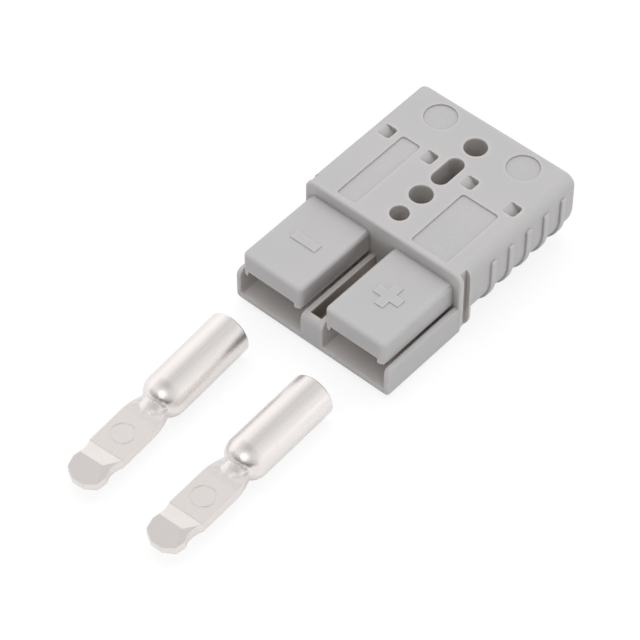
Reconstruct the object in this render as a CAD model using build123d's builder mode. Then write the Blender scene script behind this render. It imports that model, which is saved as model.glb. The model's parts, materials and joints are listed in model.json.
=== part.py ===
from build123d import *
import os

# Genderless two-pole power connector: a moulded housing and its two loose plated contacts, in millimetres.
# +Z is up, the mating end looks along -Y, and the origin is the centre of the housing's underside.

# Housing, over all
housing_length = 79.4
housing_width = 56.2
housing_height = 25.4
nose_length = 29.45

# Collar and grip
top_edge_radius = 3.5
collar_bottom_radius = 6.0
grip_bottom_radius = 13.4
end_edge_radius = 0.8
flange_thickness = 1.4
notch_width = 2.7
notch_depth = 1.5
rear_lip = 0.7
rib_count = 5
rib_pitch = 7.6
rib_width = 1.9
rib_height = 0.8
rib_edge_radius = 0.35
rib_top_drop = 4.3
rib_rear_margin = 5.75
rib_wrap_angle = 50

# Tray
tray_inset = 0.4
tray_floor = 4.1
tray_wall = 1.8
tray_top_clearance = 0.1
tray_bottom_radius = 3.4
tray_nose_radius = 2.3
tray_corner_radius = 1.0
socket_corner_radius = 1.0
socket_rim_radius = 0.5
divider_width = 7.8
channel_rib = 1.9
channel_depth = 6.0
channel_front_wall = 2.2

# Hoods
hood_wall_gap = 0.4
hood_divider_gap = 0.4
hood_setback = 0.5
hood_top_drop = 4.5
hood_mating_gap = 0.1
hood_roof = 1.8
hood_front_wall = 2.0
hood_corner_radius = 1.8
hood_edge_radius = 1.4
skirt_width = 2.2
skirt_height = 1.7
mark_length = 8.8
mark_width = 3.0
mark_height = 0.3

# Top face
pin_hole_diameter = 5.6
pin_hole_from_collar = 7.4
mount_hole_diameter = 6.9
mount_hole_spacing = 23.6
mount_hole_rear_margin = 9.7
slot_width = 5.2
slot_centres = 6.5
slot_rear_margin = 18.6
hole_edge_radius = 0.25
recess_depth = 0.5
recess_corner_radius = 1.1
badge_diameter = 9.9
badge_rear_margin = 7.05
narrow_label = (6.7, 28.4)
wide_label = (12.9, 22.5)
label_from_collar = 1.9
label_from_axis = 0.1
window_length = 4.2
window_width = 4.4
window_depth = 2.8
window_corner_radius = 1.0
window_offset = 7.6
window_rear_margin = 21.2

# Contacts
barrel_diameter = 13.2
barrel_wall = 1.5
barrel_length = 27.5
barrel_end_wall = 3.5
barrel_rim_chamfer = 0.3
shoulder_length = 6.0
neck_width = 7.4
neck_height = 4.7
neck_lead = 1.0
neck_sink = 0.16
flare_length = 6.6
tongue_width = 11.5
tongue_thickness = 3.2
tongue_drop = 2.2
flat_length = 19.0
step_drop = 0.1
ramp_length = 4.9
ramp_rise = 0.8
tip_drop = 2.0
waist_inset = 0.8
head_width = 11.2
head_flare = 1.9
head_length = 3.0
head_taper = 0.5
nose_width = 3.8
nose_depth = 2.0
scoop_width = 2.6
stamp_diameter = 7.4
stamp_line = 0.5
stamp_depth = 0.2
stamp_from_step = 6.9
loose_places = {"negative_contact": (-17.1, -13.8, 3.7), "positive_contact": (14.5, -15.0, 1.9)}

# Contact cavities and springs
tongue_clearance = 0.4
barrel_clearance = 0.6
tip_clearance = 0.6
cable_entry_wall = 2.4
cable_entry_depth = 12.0
entry_chamfer = 0.8
spring_width = 9.0
spring_thickness = 0.8
spring_seat_length = 8.0
spring_seat_depth = 0.4
spring_clearance = 0.15
spring_reach = 15.5
spring_sag = 2.4
spring_lip = 1.3
spring_bend_radius = 2.0

# Places worked out from the sizes
front_y = -housing_length / 2
rear_y = housing_length / 2
collar_y = front_y + nose_length
collar_length = flange_thickness + notch_width + rear_lip
tray_width = housing_width - 2 * tray_inset
mating_plane = housing_height / 2
tray_top = mating_plane - tray_top_clearance
hood_outer = tray_width / 2 - tray_wall - hood_wall_gap
hood_inner = divider_width / 2 + hood_divider_gap
hood_width = hood_outer - hood_inner
contact_spacing = hood_outer + hood_inner
contact_x = contact_spacing / 2
hood_bottom = mating_plane + hood_mating_gap
hood_top = housing_height - hood_top_drop
hood_ceiling = hood_top - hood_roof
hood_front = front_y + hood_setback
shoulder_end = barrel_length + shoulder_length
flat_end = shoulder_end + flat_length
contact_length = flat_end + ramp_length + head_flare + head_length + nose_depth
cavity_z = mating_plane + tongue_drop
cavity_diameter = barrel_diameter + 2 * barrel_clearance
cable_entry_diameter = max(cavity_diameter, 2 * (housing_height - cavity_z - cable_entry_wall))
passage_front = hood_front + hood_front_wall
cavity_front = passage_front + tip_clearance + contact_length - shoulder_end
pin_hole_y = collar_y + pin_hole_from_collar
mount_rear_y = rear_y - mount_hole_rear_margin
mount_front_y = mount_rear_y - mount_hole_spacing
slot_y = rear_y - slot_rear_margin - slot_centres / 2
window_y = rear_y - window_rear_margin
label_y = collar_y + label_from_collar
overlap = 1.0

# Collar and grip: two rounded blocks in line, notched behind the front flange
with BuildPart() as body:
    for end_y, length, lower_radius in (
        (rear_y, rear_y - collar_y, grip_bottom_radius),
        (collar_y + collar_length, collar_length, collar_bottom_radius),
    ):
        with BuildSketch(Plane.XZ.offset(-end_y)) as section:
            with Locations((0, housing_height / 2)):
                Rectangle(housing_width, housing_height)
            fillet(section.vertices().group_by(Axis.Y)[-1], top_edge_radius)
            fillet(section.vertices().group_by(Axis.Y)[0], lower_radius)
        extrude(amount=length)
    fillet(body.faces().sort_by(Axis.Y)[-1].edges(), end_edge_radius)
    fillet(body.faces().sort_by(Axis.Y)[0].edges(), end_edge_radius)
    with Locations((0, collar_y + flange_thickness + notch_width / 2, housing_height / 2)):
        with GridLocations(housing_width, 0, 2, 1):
            Box(2 * notch_depth, notch_width, housing_height, mode=Mode.SUBTRACT)

# Grip ribs: flat bars half sunk in the sides, following the lower edge a little way under
rib_x = housing_width / 2
with BuildPart() as ribs:
    for rib in range(rib_count):
        rib_plane = Plane.XZ.offset(-(rear_y - rib_rear_margin - rib * rib_pitch))
        with BuildLine(rib_plane) as rib_path:
            rib_side = Line((rib_x, housing_height - rib_top_drop), (rib_x, grip_bottom_radius))
            rib_centre = (rib_x - grip_bottom_radius, grip_bottom_radius)
            CenterArc(rib_centre, grip_bottom_radius, 0, -rib_wrap_angle)
        with BuildSketch(Plane(rib_side @ 0, x_dir=(1, 0, 0), z_dir=(0, 0, -1))):
            RectangleRounded(2 * rib_height, rib_width, rib_edge_radius)
        sweep(path=rib_path.wire())
    fillet(ribs.faces().group_by(Axis.Z)[-1].edges(), rib_edge_radius)
    mirror(about=Plane.YZ)

# Tray: a shallow block with rounded edges and nose and two sockets open at the front
with BuildPart() as tray:
    with BuildSketch(Plane.YZ) as tray_side:
        with Locations(((front_y + collar_y + overlap) / 2, tray_top / 2)):
            Rectangle(nose_length + overlap, tray_top)
        fillet(tray_side.vertices().group_by(Axis.X)[0].sort_by(Axis.Y)[-1], tray_nose_radius)
    extrude(amount=tray_width / 2, both=True)
    tray_lower = tray.edges().group_by(Axis.Z)[0]
    fillet(tray_lower.filter_by(Axis.Y) + tray_lower.sort_by(Axis.Y)[0:1], tray_bottom_radius)
    fillet(tray.edges().filter_by(Axis.Z).group_by(Axis.Y)[0], tray_corner_radius)
    socket_width = tray_width / 2 - tray_wall - divider_width / 2
    socket_height = tray_top + 2 * socket_corner_radius - tray_floor
    with BuildSketch(Plane.XZ.offset(-(collar_y + overlap))):
        with Locations((0, tray_floor + socket_height / 2)):
            with GridLocations(divider_width + socket_width, 0, 2, 1):
                RectangleRounded(socket_width, socket_height, socket_corner_radius)
    extrude(amount=nose_length + 2 * overlap, mode=Mode.SUBTRACT)
    fillet(tray.edges(Select.LAST).group_by(Axis.Y)[0], socket_rim_radius)

# Hood: a shell closed at the top, sides and front, open below for the mating half
with BuildPart() as hood:
    hood_length = collar_y + overlap - hood_front
    with Locations((0, hood_front + hood_length / 2, (hood_bottom + hood_top) / 2)):
        Box(hood_width, hood_length, hood_top - hood_bottom)
    fillet(hood.edges().filter_by(Axis.Z).group_by(Axis.Y)[0], hood_corner_radius)
    hood_rim = hood.faces().sort_by(Axis.Z)[-1].edges()
    fillet(hood_rim - hood_rim.sort_by(Axis.Y)[-1:], hood_edge_radius)
    hood_hollow = hood_width - 2 * skirt_width
    for hollow_front, hollow_top in (
        (hood_front - overlap, hood_bottom + skirt_height),
        (passage_front, hood_ceiling),
    ):
        with Locations((0, (hollow_front + collar_y) / 2, (hood_bottom + hollow_top) / 2)):
            Box(hood_hollow, collar_y - hollow_front, hollow_top - hood_bottom, mode=Mode.SUBTRACT)

# Window: a rounded pocket whose floor slopes down to the right
with BuildPart() as window:
    with BuildSketch():
        RectangleRounded(window_length, window_width, window_corner_radius)
    extrude(amount=-window_depth)
    with BuildSketch(Plane.XZ):
        with BuildLine():
            deep_end = window_length / 2
            Polyline((-deep_end, 0), (deep_end, -window_depth), (deep_end, 0), close=True)
        make_face()
    extrude(amount=window_width, both=True, mode=Mode.INTERSECT)

# Housing
with BuildPart() as housing:
    add(body.part)
    add(ribs.part)
    add(tray.part)
    # channel along the top of the divider
    channel_length = nose_length - channel_front_wall
    with Locations((0, collar_y - channel_length / 2, tray_top)):
        Box(divider_width - 2 * channel_rib, channel_length, 2 * channel_depth, mode=Mode.SUBTRACT)
    with GridLocations(contact_spacing, 0, 2, 1):
        add(hood.part)
    # contact cavities: cable entry, barrel bore, and the passage to the hood's inside
    for bore_diameter, bore_depth in (
        (cable_entry_diameter, cable_entry_depth),
        (cavity_diameter, rear_y - cavity_front),
    ):
        with BuildSketch(Plane.XZ.offset(-rear_y)):
            with Locations((-contact_x, cavity_z), (contact_x, cavity_z)):
                Circle(bore_diameter / 2)
        extrude(amount=bore_depth, mode=Mode.SUBTRACT)
    passage_back = cavity_front + overlap
    passage_width = tongue_width + 2 * tongue_clearance
    with Locations((0, (collar_y + passage_back) / 2, (mating_plane + hood_ceiling) / 2)):
        with GridLocations(contact_spacing, 0, 2, 1):
            Box(passage_width, passage_back - collar_y, hood_ceiling - mating_plane, mode=Mode.SUBTRACT)
    # groove in the roof that the spring is seated in, and flexes into
    groove_width = spring_width + 2 * spring_clearance
    with Locations((0, (passage_front + cavity_front) / 2, hood_ceiling)):
        with GridLocations(contact_spacing, 0, 2, 1):
            Box(groove_width, cavity_front - passage_front, 2 * spring_seat_depth, mode=Mode.SUBTRACT)
    # the entry's chamfer takes at most half of the flat rim beside the thinnest wall
    entry_wall = min(housing_height - cavity_z, housing_width / 2 - contact_x) - cable_entry_diameter / 2
    rim_chamfer = min(entry_chamfer, (entry_wall - end_edge_radius) / 2)
    chamfer(housing.faces().sort_by(Axis.Y)[-1].inner_wires().edges(), rim_chamfer)
    # holes through the middle web
    for hole_y, hole_diameter in (
        (pin_hole_y, pin_hole_diameter),
        (mount_front_y, mount_hole_diameter),
        (mount_rear_y, mount_hole_diameter),
    ):
        with Locations((0, hole_y, housing_height)):
            Hole(hole_diameter / 2, housing_height)
    with BuildSketch(Plane.XY.offset(housing_height)):
        with Locations((0, slot_y)):
            SlotCenterToCenter(slot_centres, slot_width, rotation=90)
    extrude(amount=-housing_height, mode=Mode.SUBTRACT)
    fillet(housing.faces().sort_by(Axis.Z)[-1].inner_wires().edges(), hole_edge_radius)
    # shallow recesses in the top face: two label fields and two round badges
    with BuildSketch(Plane.XY.offset(housing_height)):
        with Locations((-contact_x + label_from_axis, label_y + narrow_label[1] / 2)):
            RectangleRounded(*narrow_label, recess_corner_radius)
        with Locations((contact_x + label_from_axis, label_y + wide_label[1] / 2)):
            RectangleRounded(*wide_label, recess_corner_radius)
        with Locations((0, rear_y - badge_rear_margin)):
            with GridLocations(contact_spacing, 0, 2, 1):
                Circle(badge_diameter / 2)
    extrude(amount=-recess_depth, mode=Mode.SUBTRACT)
    # sloping pockets on both sides of each cavity
    for x in (-contact_x, contact_x):
        with Locations((x, window_y, housing_height)):
            with GridLocations(2 * window_offset, 0, 2, 1):
                add(window.part, mode=Mode.SUBTRACT)
    # raised polarity marks on the hoods
    mark_y = (hood_front + collar_y) / 2
    with BuildSketch(Plane.XY.offset(hood_top)):
        with Locations((-contact_x, mark_y), (contact_x, mark_y)):
            Rectangle(mark_length, mark_width)
        with Locations((contact_x, mark_y)):
            Rectangle(mark_width, mark_length)
    extrude(amount=mark_height)

# Tongue: a flat bar that flares from the neck and ends in a stepped, hooked tip with a faceted nose
axis_z = barrel_diameter / 2
tongue_bottom = axis_z - tongue_drop
tongue_top = tongue_bottom + tongue_thickness
tongue_middle = (tongue_bottom + tongue_top) / 2
ridge_z = tongue_top - step_drop + ramp_rise
with BuildPart() as tongue:
    half = tongue_width / 2
    waist = half - waist_inset
    waist_y = -(flat_end + ramp_length)
    head_y = waist_y - head_flare
    head_corner = head_width / 2 - head_taper
    with BuildSketch(Plane.XY.offset(tongue_bottom)):
        with BuildLine():
            flare = Bezier(
                (neck_width / 2, -barrel_length),
                (neck_width / 2, -shoulder_end),
                (half, -shoulder_end),
                (half, -shoulder_end - flare_length),
            )
            edge = Line(flare @ 1, (half, -flat_end))
            hollow = ThreePointArc(edge @ 1, (waist, (waist_y - flat_end) / 2), (waist, waist_y))
            head = Polyline(
                hollow @ 1,
                (head_width / 2, head_y),
                (head_corner, head_y - head_length),
                (nose_width / 2, -contact_length),
                (0, -contact_length),
            )
            Polyline(head @ 1, (0, -barrel_length), flare @ 0)
        make_face()
        mirror(about=Plane.YZ)
    extrude(amount=tongue_thickness + ramp_rise)
    with BuildSketch(Plane.YZ):
        with BuildLine():
            Polyline(
                (-barrel_length, tongue_bottom),
                (-barrel_length, tongue_top),
                (-flat_end, tongue_top),
                (-flat_end, tongue_top - step_drop),
                (waist_y, ridge_z),
                (-contact_length, ridge_z - tip_drop),
                (-contact_length, tongue_bottom),
                close=True,
            )
        make_face()
    extrude(amount=tongue_width, both=True, mode=Mode.INTERSECT)
    # scoop on the right of the tip: a flat cut from the step, past the ridge's end, to the head's corner
    ridge_end = Vector(head_width / 2 - scoop_width, waist_y, ridge_z)
    corner_drop = tip_drop * (head_flare + head_length) / (contact_length + waist_y)
    to_step = Vector(half, -flat_end, ridge_z - ramp_rise) - ridge_end
    to_corner = Vector(head_corner, head_y - head_length, ridge_z - corner_drop) - ridge_end
    with BuildSketch(Plane(ridge_end, z_dir=to_corner.cross(to_step))):
        Rectangle(2 * tongue_width, 2 * tongue_width)
    extrude(amount=tongue_thickness, mode=Mode.SUBTRACT)
    with BuildSketch(Plane.XY.offset(tongue_top)):
        with Locations((0, -flat_end + stamp_from_step)):
            Circle(stamp_diameter / 2)
            Circle(stamp_diameter / 2 - stamp_line, mode=Mode.SUBTRACT)
    extrude(amount=-stamp_depth, mode=Mode.SUBTRACT)

# Contact: a tube closed by a rounded shoulder, pinched at a neck, that goes on as the tongue
with BuildPart() as contact:
    with BuildSketch(Plane.YZ):
        with BuildLine():
            rear = Line((0, axis_z), (0, axis_z + barrel_diameter / 2))
            Line(rear @ 1, (-barrel_length, axis_z + barrel_diameter / 2))
            EllipticalCenterArc(
                (-barrel_length, axis_z), shoulder_length, barrel_diameter / 2, start_angle=90, arc_size=90
            )
            Line((-shoulder_end, axis_z), rear @ 0)
        make_face()
    revolve(axis=Axis((0, 0, axis_z), (0, 1, 0)))
    for y, height, z in (
        (-barrel_length - shoulder_length / 2, neck_height + tongue_thickness / 2, axis_z),
        (-shoulder_end - neck_lead, neck_height, (axis_z + tongue_middle) / 2),
        (-shoulder_end - flare_length / 2, tongue_thickness - 2 * neck_sink, tongue_middle),
    ):
        with BuildSketch(Plane.XZ.offset(-y)):
            with Locations((0, z)):
                Ellipse(neck_width / 2, height / 2)
    loft()
    add(tongue.part)
    with BuildSketch(Plane.XZ):
        with Locations((0, axis_z)):
            Circle(barrel_diameter / 2 - barrel_wall)
    extrude(amount=barrel_length - barrel_end_wall, mode=Mode.SUBTRACT)
    chamfer(contact.faces().sort_by(Axis.Y)[-1].edges(), barrel_rim_chamfer)

# Spring: a flat strip seated in the roof of the passage, sagging forward to a turned-down lip
with BuildPart() as spring:
    seat_z = hood_ceiling + spring_seat_depth - spring_thickness / 2
    seat_front = cavity_front - spring_seat_length
    sag_end = seat_front - spring_reach
    with BuildSketch(Plane.YZ):
        with BuildLine():
            FilletPolyline(
                (cavity_front - spring_clearance, seat_z),
                (seat_front, seat_z),
                (sag_end, seat_z - spring_sag),
                (sag_end - spring_lip, seat_z - spring_sag - spring_lip),
                radius=spring_bend_radius,
            )
        trace(line_width=spring_thickness)
    extrude(amount=spring_width / 2, both=True)

os.makedirs("parts", exist_ok=True)
housing.part.label = "housing"
export_step(housing.part, "parts/housing.step")
for name, (x, from_front, turn) in loose_places.items():
    with BuildPart() as placed:
        with Locations(Location((x, front_y + from_front, 0), (0, 0, turn))):
            add(contact.part)
    placed.part.label = name
    export_step(placed.part, f"parts/{name}.step")
for name, x in (("negative_spring", -contact_x), ("positive_spring", contact_x)):
    with BuildPart() as seated:
        with Locations((x, 0, 0)):
            add(spring.part)
    seated.part.label = name
    export_step(seated.part, f"parts/{name}.step")
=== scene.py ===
import json
import math

import bpy
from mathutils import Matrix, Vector


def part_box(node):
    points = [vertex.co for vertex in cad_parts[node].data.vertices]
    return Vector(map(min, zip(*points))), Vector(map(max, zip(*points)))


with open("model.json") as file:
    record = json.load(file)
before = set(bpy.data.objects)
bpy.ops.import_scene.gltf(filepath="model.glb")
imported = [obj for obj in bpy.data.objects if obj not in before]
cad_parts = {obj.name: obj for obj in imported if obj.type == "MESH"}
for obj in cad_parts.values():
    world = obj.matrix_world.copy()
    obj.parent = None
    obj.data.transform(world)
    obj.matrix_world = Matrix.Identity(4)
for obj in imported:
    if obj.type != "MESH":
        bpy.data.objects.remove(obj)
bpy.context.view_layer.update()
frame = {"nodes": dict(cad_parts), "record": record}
print("frame loaded:", ", ".join(sorted(frame["nodes"])))

mm = 0.001  # sizes below are written in millimetres and used in metres
noiseMiddle = 0.5  # mean value of a noise texture


class Wire:
    # a node's output that can stand in a plain sum: each sign adds one Math node
    def __init__(self, finish, socket):
        self.finish = finish
        self.socket = socket

    def __add__(self, other):
        return self.finish.math("ADD", self, other)

    def __sub__(self, other):
        return self.finish.math("SUBTRACT", self, other)

    def __rsub__(self, other):
        return self.finish.math("SUBTRACT", other, self)

    def __mul__(self, other):
        return self.finish.math("MULTIPLY", self, other)

    def __gt__(self, other):
        return self.finish.math("GREATER_THAN", self, other)

    def __lt__(self, other):
        return self.finish.math("LESS_THAN", self, other)

    __radd__ = __add__
    __rmul__ = __mul__


class Finish:
    # the node tree of one material, or of the world
    def __init__(self, owner):
        owner.use_nodes = True
        self.owner = owner
        self.tree = owner.node_tree
        self.tree.nodes.clear()

    def node(self, kind, settings=None, sockets=None, out=0):
        made = self.tree.nodes.new("ShaderNode" + kind)
        for name, value in (settings or {}).items():
            setattr(made, name, value)
        for name, value in (sockets or {}).items():
            if isinstance(value, Wire):
                self.tree.links.new(value.socket, made.inputs[name])
            else:
                made.inputs[name].default_value = value
        return Wire(self, made.outputs[out]) if made.outputs else None

    def math(self, sign, a, b=0.0, clamp=False):
        return self.node("Math", {"operation": sign, "use_clamp": clamp}, {0: a, 1: b})

    def clamp(self, value):
        return self.math("ADD", value, 0.0, clamp=True)

    def ease(self, value, low, high):
        settings = {"interpolation_type": "SMOOTHSTEP"}
        return self.node("MapRange", settings, {"Value": value, "From Min": low, "From Max": high})

    def blend(self, share, a, b):
        settings = {"data_type": "RGBA", "blend_type": "MIX"}
        return self.node("Mix", settings, {"Factor": share, 6: a, 7: b}, out=2)

    def scale(self, colour, factor):
        return self.node("VectorMath", {"operation": "SCALE"}, {0: colour, "Scale": factor})

    def dot(self, a, b):
        return self.node("VectorMath", {"operation": "DOT_PRODUCT"}, {0: a, 1: b}, out="Value")

    def stretch(self, where, factors):
        return self.node("VectorMath", {"operation": "MULTIPLY"}, {0: where, 1: factors})

    def noise(self, where, scale, detail, rough):
        sockets = {"Vector": where, "Scale": scale, "Detail": detail, "Roughness": rough}
        return self.node("TexNoise", {}, sockets)

    def openness(self, reach, samples, inside=False):
        settings = {"samples": samples, "inside": inside, "only_local": True}
        return self.node("AmbientOcclusion", settings, {"Distance": reach}, out="AO")

    def split(self, vector):
        parts = self.node("SeparateXYZ", {}, {0: vector}).socket.node
        return [Wire(self, socket) for socket in parts.outputs]

    def surface(self, shader):
        self.node("OutputMaterial", {}, {"Surface": shader})


def rgb(red, green, blue):
    return (red, green, blue, 1.0)


# Moulded grey plastic of the housing; a noise is given per metre, with its detail and roughness
plastic = {
    "grey": rgb(0.530, 0.519, 0.523),
    "greyCool": rgb(0.512, 0.508, 0.514),
    "patches": (45.0, 3.0, 0.5),
    "patchRange": (0.3, 0.7),
    "grain": (2600.0, 2.0, 0.6),
    "grainDepth": 0.10 * mm,
    "grainStrength": 0.16,
    "spark": (1500.0, 4.0, 0.7),  # coarser texture on the floors of the shallow recesses
    "sparkRelief": 3.5,
    "sparkMiddle": 0.55,
    "recess": (0.60 * mm, 0.15 * mm),  # lowest and highest, below the top face
    "speckle": (0.96, 0.07, 0.24),  # lightness, and the grain's and the spark's share
    "roughness": 0.52,
    "roughGrain": 0.2,
    "roughEdge": 0.06,
    "ior": 1.5,
    "samples": 6,
    "upwardFrom": 0.9,
    "sidewaysFrom": 0.8,
    # enclosed places: painted shade where the housing hems a spot in, and painted light deeper in crevices
    "shadeGrey": rgb(0.290, 0.273, 0.262),
    "shaded": (0.36, 0.74),
    "shadedNose": (0.45, 1.00),
    "shadedTop": 0.15,
    "paintedCreviceLight": rgb(0.670, 0.638, 0.615),
    "creviceReach": 10.0 * mm,
    "creviced": (0.16, 0.42),
    # the nose, in front of the collar: painted light on tray walls and socket floors, painted shade in the
    # channel
    "collarFace": -10.3 * mm,
    "trayTop": 12.3 * mm,
    "paintedWallLight": rgb(0.640, 0.578, 0.540),
    "paintedSocketLight": rgb(0.715, 0.684, 0.668),
    "socketFloor": 6.0 * mm,
    "paintedChannelShade": rgb(0.300, 0.262, 0.232),
    "channelHalf": 2.1 * mm,
    "channelFront": -37.8 * mm,
    "channelFade": (-36.0 * mm, -10.0 * mm),
    # painted shade in narrow gaps, and a painted shadow line along the hoods' lower edge
    "paintedGapShadow": rgb(0.045, 0.040, 0.037),
    "gapReach": 1.6 * mm,
    "gapFrom": 0.60,
    "gapGain": 3.0,
    "hoodEdge": (12.7 * mm, 13.15 * mm),
    # painted highlight on outward edges, rounded and thin ones
    "edgeSheenGrey": rgb(0.670, 0.640, 0.605),
    "edgeRadius": 0.30 * mm,
    "edgeGain": 6.0,
    "edgeShare": 0.45,
    "sheenReach": 1.4 * mm,
    "sheenGain": 1.5,
    "sheenShare": 0.7,
}


def mouldedPlastic(name, values, top):
    finish = Finish(bpy.data.materials.new(name))
    samples = values["samples"]
    where = finish.node("TexCoord", out="Object")
    across, along, height = finish.split(where)
    normal = finish.node("NewGeometry", out="Normal")
    facing = finish.split(normal)
    sideways = facing[0] * facing[0] > values["sidewaysFrom"]
    upward = facing[2] > values["upwardFrom"]
    patches = finish.noise(where, *values["patches"])
    grain = finish.noise(where, *values["grain"])
    spark = finish.noise(where, *values["spark"])

    # masks by place: the recess floors for texture, the rest for painted light and shade
    recessFloor, recessTop = values["recess"]
    sunk = (height < top - recessTop) * (height > top - recessFloor) * upward
    nose = along < values["collarFace"]
    inTray = nose * (height < values["trayTop"])
    socket = (height < values["socketFloor"]) * upward
    channel = inTray * (across * across < values["channelHalf"] ** 2) * (along > values["channelFront"])
    channel = channel * (1.0 - finish.ease(along, *values["channelFade"]))
    edgeLow, edgeHigh = values["hoodEdge"]
    hoodShadowLine = nose * sideways * (height > edgeLow) * (height < edgeHigh)

    # masks by how enclosed or how thin a spot is, for painted shade, painted light and painted highlight
    openness = finish.openness(values["creviceReach"], samples)
    clear = finish.ease(openness, *values["shaded"])
    clear = clear + nose * (1.0 - upward) * (finish.ease(openness, *values["shadedNose"]) - clear)
    shaded = (1.0 - clear) * (1.0 - upward * (1.0 - values["shadedTop"]))
    crevice = 1.0 - finish.ease(openness, *values["creviced"])
    nearby = finish.openness(values["gapReach"], samples)
    gap = finish.clamp((values["gapFrom"] - nearby) * values["gapGain"])
    rounded = finish.node("Bevel", {"samples": samples}, {"Radius": values["edgeRadius"]})
    edge = finish.clamp((1.0 - finish.dot(rounded, normal)) * values["edgeGain"])
    inner = finish.openness(values["sheenReach"], samples, inside=True)
    sheen = finish.clamp((1.0 - inner) * values["sheenGain"])
    rimSheen = finish.clamp(edge * values["edgeShare"] + sheen * values["sheenShare"])

    shade = finish.blend(finish.ease(patches, *values["patchRange"]), values["grey"], values["greyCool"])
    # painted shade, painted light, painted shadow lines and painted edge highlight, laid over the grey
    for share, tone in (
        (shaded, "shadeGrey"),
        (crevice, "paintedCreviceLight"),
        (shaded * inTray, "paintedWallLight"),
        (socket, "paintedSocketLight"),
        (channel, "paintedChannelShade"),
        (gap, "paintedGapShadow"),
        (rimSheen, "edgeSheenGrey"),
        (hoodShadowLine, "paintedGapShadow"),
    ):
        shade = finish.blend(share, shade, values[tone])
    lightness, grainShare, sparkShare = values["speckle"]
    speckle = lightness + grain * grainShare + (spark - values["sparkMiddle"]) * sunk * sparkShare
    bump = finish.node(
        "Bump",
        {},
        {
            "Strength": values["grainStrength"],
            "Distance": values["grainDepth"],
            "Height": grain + spark * sunk * values["sparkRelief"],
            "Normal": rounded,
        },
    )
    rough = values["roughness"] + (grain - noiseMiddle) * values["roughGrain"] - edge * values["roughEdge"]
    shader = finish.node(
        "BsdfPrincipled",
        {},
        {
            "Base Color": finish.scale(shade, speckle),
            "Roughness": rough,
            "IOR": values["ior"],
            "Normal": bump,
        },
    )
    finish.surface(shader)
    return finish.owner


# Silver plating of the contacts; places along a contact are measured from the middle of its bore
plating = {
    "silver": rgb(0.955, 0.910, 0.890),
    "silverDull": rgb(0.915, 0.862, 0.832),
    "dullTongue": 0.6,
    "dullCloud": 0.7,
    "silverEdgeHighlight": rgb(0.985, 0.965, 0.950),
    "edgeRadius": 0.30 * mm,
    "edgeGain": 5.0,
    "edgeShare": 0.5,
    "samples": 6,
    "drawnLines": (700.0, 30.0, 700.0),
    "lines": (1.0, 2.0, 0.5),
    "lineDepth": 0.02 * mm,
    "lineStrength": 0.10,
    "streaks": 0.22,
    "cloud": (160.0, 3.0, 0.6),
    "pits": (3200.0, 2.0, 0.6),
    "pitShade": 0.16,
    "pitRelief": 2.0,
    "tongueFrom": (24.0 * mm, 29.0 * mm),
    "crinkles": (420.0, 1.0, 0.5),
    "crinkleRelief": 120.0,
    "neckStart": (19.5 * mm, 22.0 * mm),
    "neckEnd": (26.0 * mm, 29.0 * mm),
    "roughness": 0.26,
    "tongueRoughness": 0.34,
    "roughCloud": 0.16,
    "roughLines": 0.08,
}


def platedSilver(name, values, mount):
    finish = Finish(bpy.data.materials.new(name))
    axis = Vector(mount["axis"])
    sockets = {
        "Vector": finish.node("TexCoord", out="Object"),
        "Location": Vector(mount["pos_m"]),
        "Rotation": (0.0, 0.0, math.atan2(-axis.x, axis.y)),
    }
    local = finish.node("Mapping", {"vector_type": "TEXTURE"}, sockets)
    depth = finish.split(local)[1] * -1.0
    tongue = finish.ease(depth, *values["tongueFrom"])
    neck = finish.ease(depth, *values["neckStart"]) * (1.0 - finish.ease(depth, *values["neckEnd"]))
    normal = finish.node("NewGeometry", out="Normal")
    rounded = finish.node("Bevel", {"samples": values["samples"]}, {"Radius": values["edgeRadius"]})
    edge = finish.clamp((1.0 - finish.dot(rounded, normal)) * values["edgeGain"])
    lines = finish.noise(finish.stretch(local, values["drawnLines"]), *values["lines"])
    cloud = finish.noise(local, *values["cloud"])
    pits = finish.noise(local, *values["pits"])
    crinkles = finish.noise(local, *values["crinkles"])

    dull = finish.clamp(tongue * values["dullTongue"] + (cloud - noiseMiddle) * values["dullCloud"])
    shade = finish.blend(dull, values["silver"], values["silverDull"])
    # painted highlight along the edges
    shade = finish.blend(edge * values["edgeShare"], shade, values["silverEdgeHighlight"])
    streaks = (lines - noiseMiddle) * (1.0 - tongue) * values["streaks"]
    specks = (pits - noiseMiddle) * tongue * values["pitShade"]
    relief = lines * (1.0 - tongue) + pits * tongue * values["pitRelief"]
    bump = finish.node(
        "Bump",
        {},
        {
            "Strength": values["lineStrength"],
            "Distance": values["lineDepth"],
            "Height": relief + crinkles * neck * values["crinkleRelief"],
            "Normal": rounded,
        },
    )
    rough = values["roughness"] + tongue * (values["tongueRoughness"] - values["roughness"])
    rough = rough + (cloud - noiseMiddle) * values["roughCloud"]
    rough = rough + (lines - noiseMiddle) * values["roughLines"]
    shader = finish.node(
        "BsdfPrincipled",
        {},
        {
            "Base Color": finish.scale(shade, 1.0 + streaks + specks),
            "Metallic": 1.0,
            "Roughness": rough,
            "Normal": bump,
        },
    )
    finish.surface(shader)
    return finish.owner


# Rolled spring steel of the leaves
leafSteel = {
    "steel": rgb(0.560, 0.555, 0.545),
    "steelDark": rgb(0.400, 0.395, 0.385),
    "rolledLines": (1400.0, 35.0, 1400.0),
    "lines": (1.0, 5.0, 0.7),
    "lineRange": (0.3, 0.7),
    "lineDepth": 0.02 * mm,
    "lineStrength": 0.25,
    "roughness": 0.34,
    "roughLines": 0.2,
}


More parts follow.
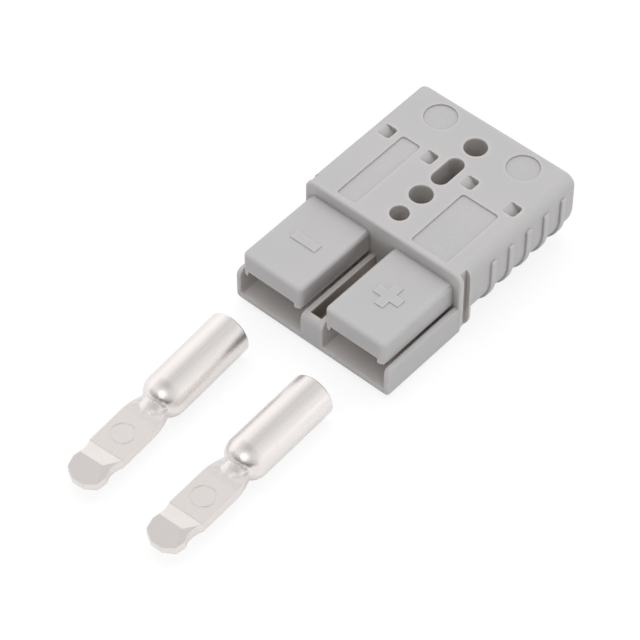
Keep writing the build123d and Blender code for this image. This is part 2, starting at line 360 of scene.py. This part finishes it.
def rolledSteel(name, values):
    finish = Finish(bpy.data.materials.new(name))
    where = finish.node("TexCoord", out="Object")
    lines = finish.noise(finish.stretch(where, values["rolledLines"]), *values["lines"])
    shade = finish.blend(finish.ease(lines, *values["lineRange"]), values["steelDark"], values["steel"])
    sockets = {"Strength": values["lineStrength"], "Distance": values["lineDepth"], "Height": lines}
    bump = finish.node("Bump", {}, sockets)
    shader = finish.node(
        "BsdfPrincipled",
        {},
        {
            "Base Color": shade,
            "Metallic": 1.0,
            "Roughness": values["roughness"] + (lines - noiseMiddle) * values["roughLines"],
            "Normal": bump,
        },
    )
    finish.surface(shader)
    return finish.owner


def dress(node, material):
    piece = frame["nodes"][node]
    piece.data.materials.clear()
    piece.data.materials.append(material)


mounts = {mount["name"]: mount for mount in frame["record"]["mounts"]}
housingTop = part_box("housing")[1].z
dress("housing", mouldedPlastic("mouldedPlastic", plastic, housingTop))
steel = rolledSteel("rolledSteel", leafSteel)
for pole in ("negative", "positive"):
    silver = platedSilver(pole + "Silver", plating, mounts[pole + "_crimp_barrel"])
    dress(pole + "_contact", silver)
    dress(pole + "_spring", steel)
print("finishes on", len(frame["nodes"]), "nodes")


def lightRays(finish):
    path = finish.node("LightPath").socket.node
    kinds = ("Is Camera Ray", "Is Glossy Ray", "Is Transmission Ray")
    return [Wire(finish, path.outputs[kind]) for kind in kinds]


# White table that keeps a faint shadow
table = {
    "reach": 3.0,
    "drop": 0.05 * mm,  # keeps it clear of the undersides
    "white": rgb(0.80, 0.80, 0.80),
    "faint": rgb(0.24, 0.24, 0.24),
    "glow": 0.80,
    "inMetal": 0.35,
}


def whiteTable(values):
    reach = values["reach"]
    low = -values["drop"]
    corners = [(-reach, -reach, low), (reach, -reach, low), (reach, reach, low), (-reach, reach, low)]
    mesh = bpy.data.meshes.new("table")
    mesh.from_pydata(corners, [], [(0, 1, 2, 3)])
    top = bpy.data.objects.new("table", mesh)
    bpy.context.scene.collection.objects.link(top)
    finish = Finish(bpy.data.materials.new("whiteTable"))
    camera, glossy, through = lightRays(finish)
    seen = finish.clamp(camera + glossy * values["inMetal"] + through)
    plain = finish.node("BsdfDiffuse", {}, {"Color": values["white"]})
    faint = finish.node("BsdfDiffuse", {}, {"Color": values["faint"]})
    glow = finish.node("Emission", {}, {"Color": rgb(1.0, 1.0, 1.0), "Strength": values["glow"]})
    shown = finish.node("AddShader", {}, {0: faint, 1: glow})
    finish.surface(finish.node("MixShader", {}, {0: seen, 1: plain, 2: shown}))
    mesh.materials.append(finish.owner)


# Soft room: white to the eye, and an even light for the object
# The metal sees a dim ceiling, pale walls and a softbox in it
room = {
    "light": rgb(0.790, 0.780, 0.775),
    "coolLight": rgb(1.110, 1.140, 1.175),
    "frontDim": 0.14,
    "ceiling": 0.53,
    "walls": 1.15,
    "rightWall": 0.70,
    "frontWall": 1.90,
    "softbox": (0.16, -0.70, 0.69),
    "softboxSize": (0.90, 0.97),
    "softboxLevel": 0.60,
}


def softRoom(values):
    world = bpy.data.worlds.new("softRoom")
    bpy.context.scene.world = world
    finish = Finish(world)
    camera, glossy, through = lightRays(finish)
    seen = finish.clamp(camera + glossy + through)
    ray = finish.node("TexCoord", out="Generated")
    right, back, up = finish.split(ray)
    low = 1.0 - finish.clamp(up)
    rightward = finish.clamp(right)
    forward = finish.clamp(back * -1.0)
    softbox = finish.ease(finish.dot(ray, values["softbox"]), *values["softboxSize"])
    walls = values["ceiling"] + low * (values["walls"] - rightward * values["rightWall"])
    walls = finish.clamp(walls - forward * low * low * values["frontWall"])
    walls = walls + softbox * values["softboxLevel"]
    level = 1.0 - glossy * (1.0 - walls)
    white = finish.node("CombineXYZ", {}, {0: level, 1: level, 2: level})
    shown = finish.node("Background", {}, {"Color": white, "Strength": 1.0})
    tint = finish.blend(rightward * low, values["light"], values["coolLight"])
    dimmed = finish.scale(tint, 1.0 - forward * values["frontDim"])
    light = finish.node("Background", {}, {"Color": dimmed, "Strength": 1.0})
    mixed = finish.node("MixShader", {}, {0: seen, 1: light, 2: shown})
    finish.node("OutputWorld", {}, {"Surface": mixed})


# One large lamp overhead, kept out of the reflections
lamp = {"size": 0.70, "place": (-0.18, 0.14, 0.82), "aim": (0.0, -0.03, 0.01), "power": 2.2}


def overheadLamp(values):
    data = bpy.data.lights.new("overhead", "AREA")
    data.size = values["size"]
    data.energy = values["power"]
    light = bpy.data.objects.new("overhead", data)
    light.location = values["place"]
    light.rotation_mode = "QUATERNION"
    light.rotation_quaternion = (Vector(values["aim"]) - light.location).to_track_quat("-Z", "Y")
    light.visible_glossy = False
    bpy.context.scene.collection.objects.link(light)


# The photograph's viewpoint
view = {
    "azimuth": 41.27,
    "elevation": 49.80,
    "distance": 0.8498,
    "aim": (0.00153, -0.0376, 0.012),
    "focusPixels": 3128.5,
    "framePixels": 640,
    "sensor": 36.0,
    "nearest": 0.01,
}


def viewpoint(values):
    data = bpy.data.cameras.new("viewpoint")
    data.sensor_width = values["sensor"]
    data.lens = values["focusPixels"] * values["sensor"] / values["framePixels"]
    data.clip_start = values["nearest"]
    camera = bpy.data.objects.new("viewpoint", data)
    azimuth = math.radians(values["azimuth"])
    elevation = math.radians(values["elevation"])
    level = math.cos(elevation)
    back = Vector((math.sin(azimuth) * level, -math.cos(azimuth) * level, math.sin(elevation)))
    camera.location = Vector(values["aim"]) + back * values["distance"]
    camera.rotation_mode = "QUATERNION"
    camera.rotation_quaternion = (-back).to_track_quat("-Z", "Y")
    bpy.context.scene.collection.objects.link(camera)
    bpy.context.scene.camera = camera


whiteTable(table)
softRoom(room)
overheadLamp(lamp)
viewpoint(view)
bpy.context.scene.view_settings.view_transform = "Standard"
print("table, room, lamp and viewpoint set")
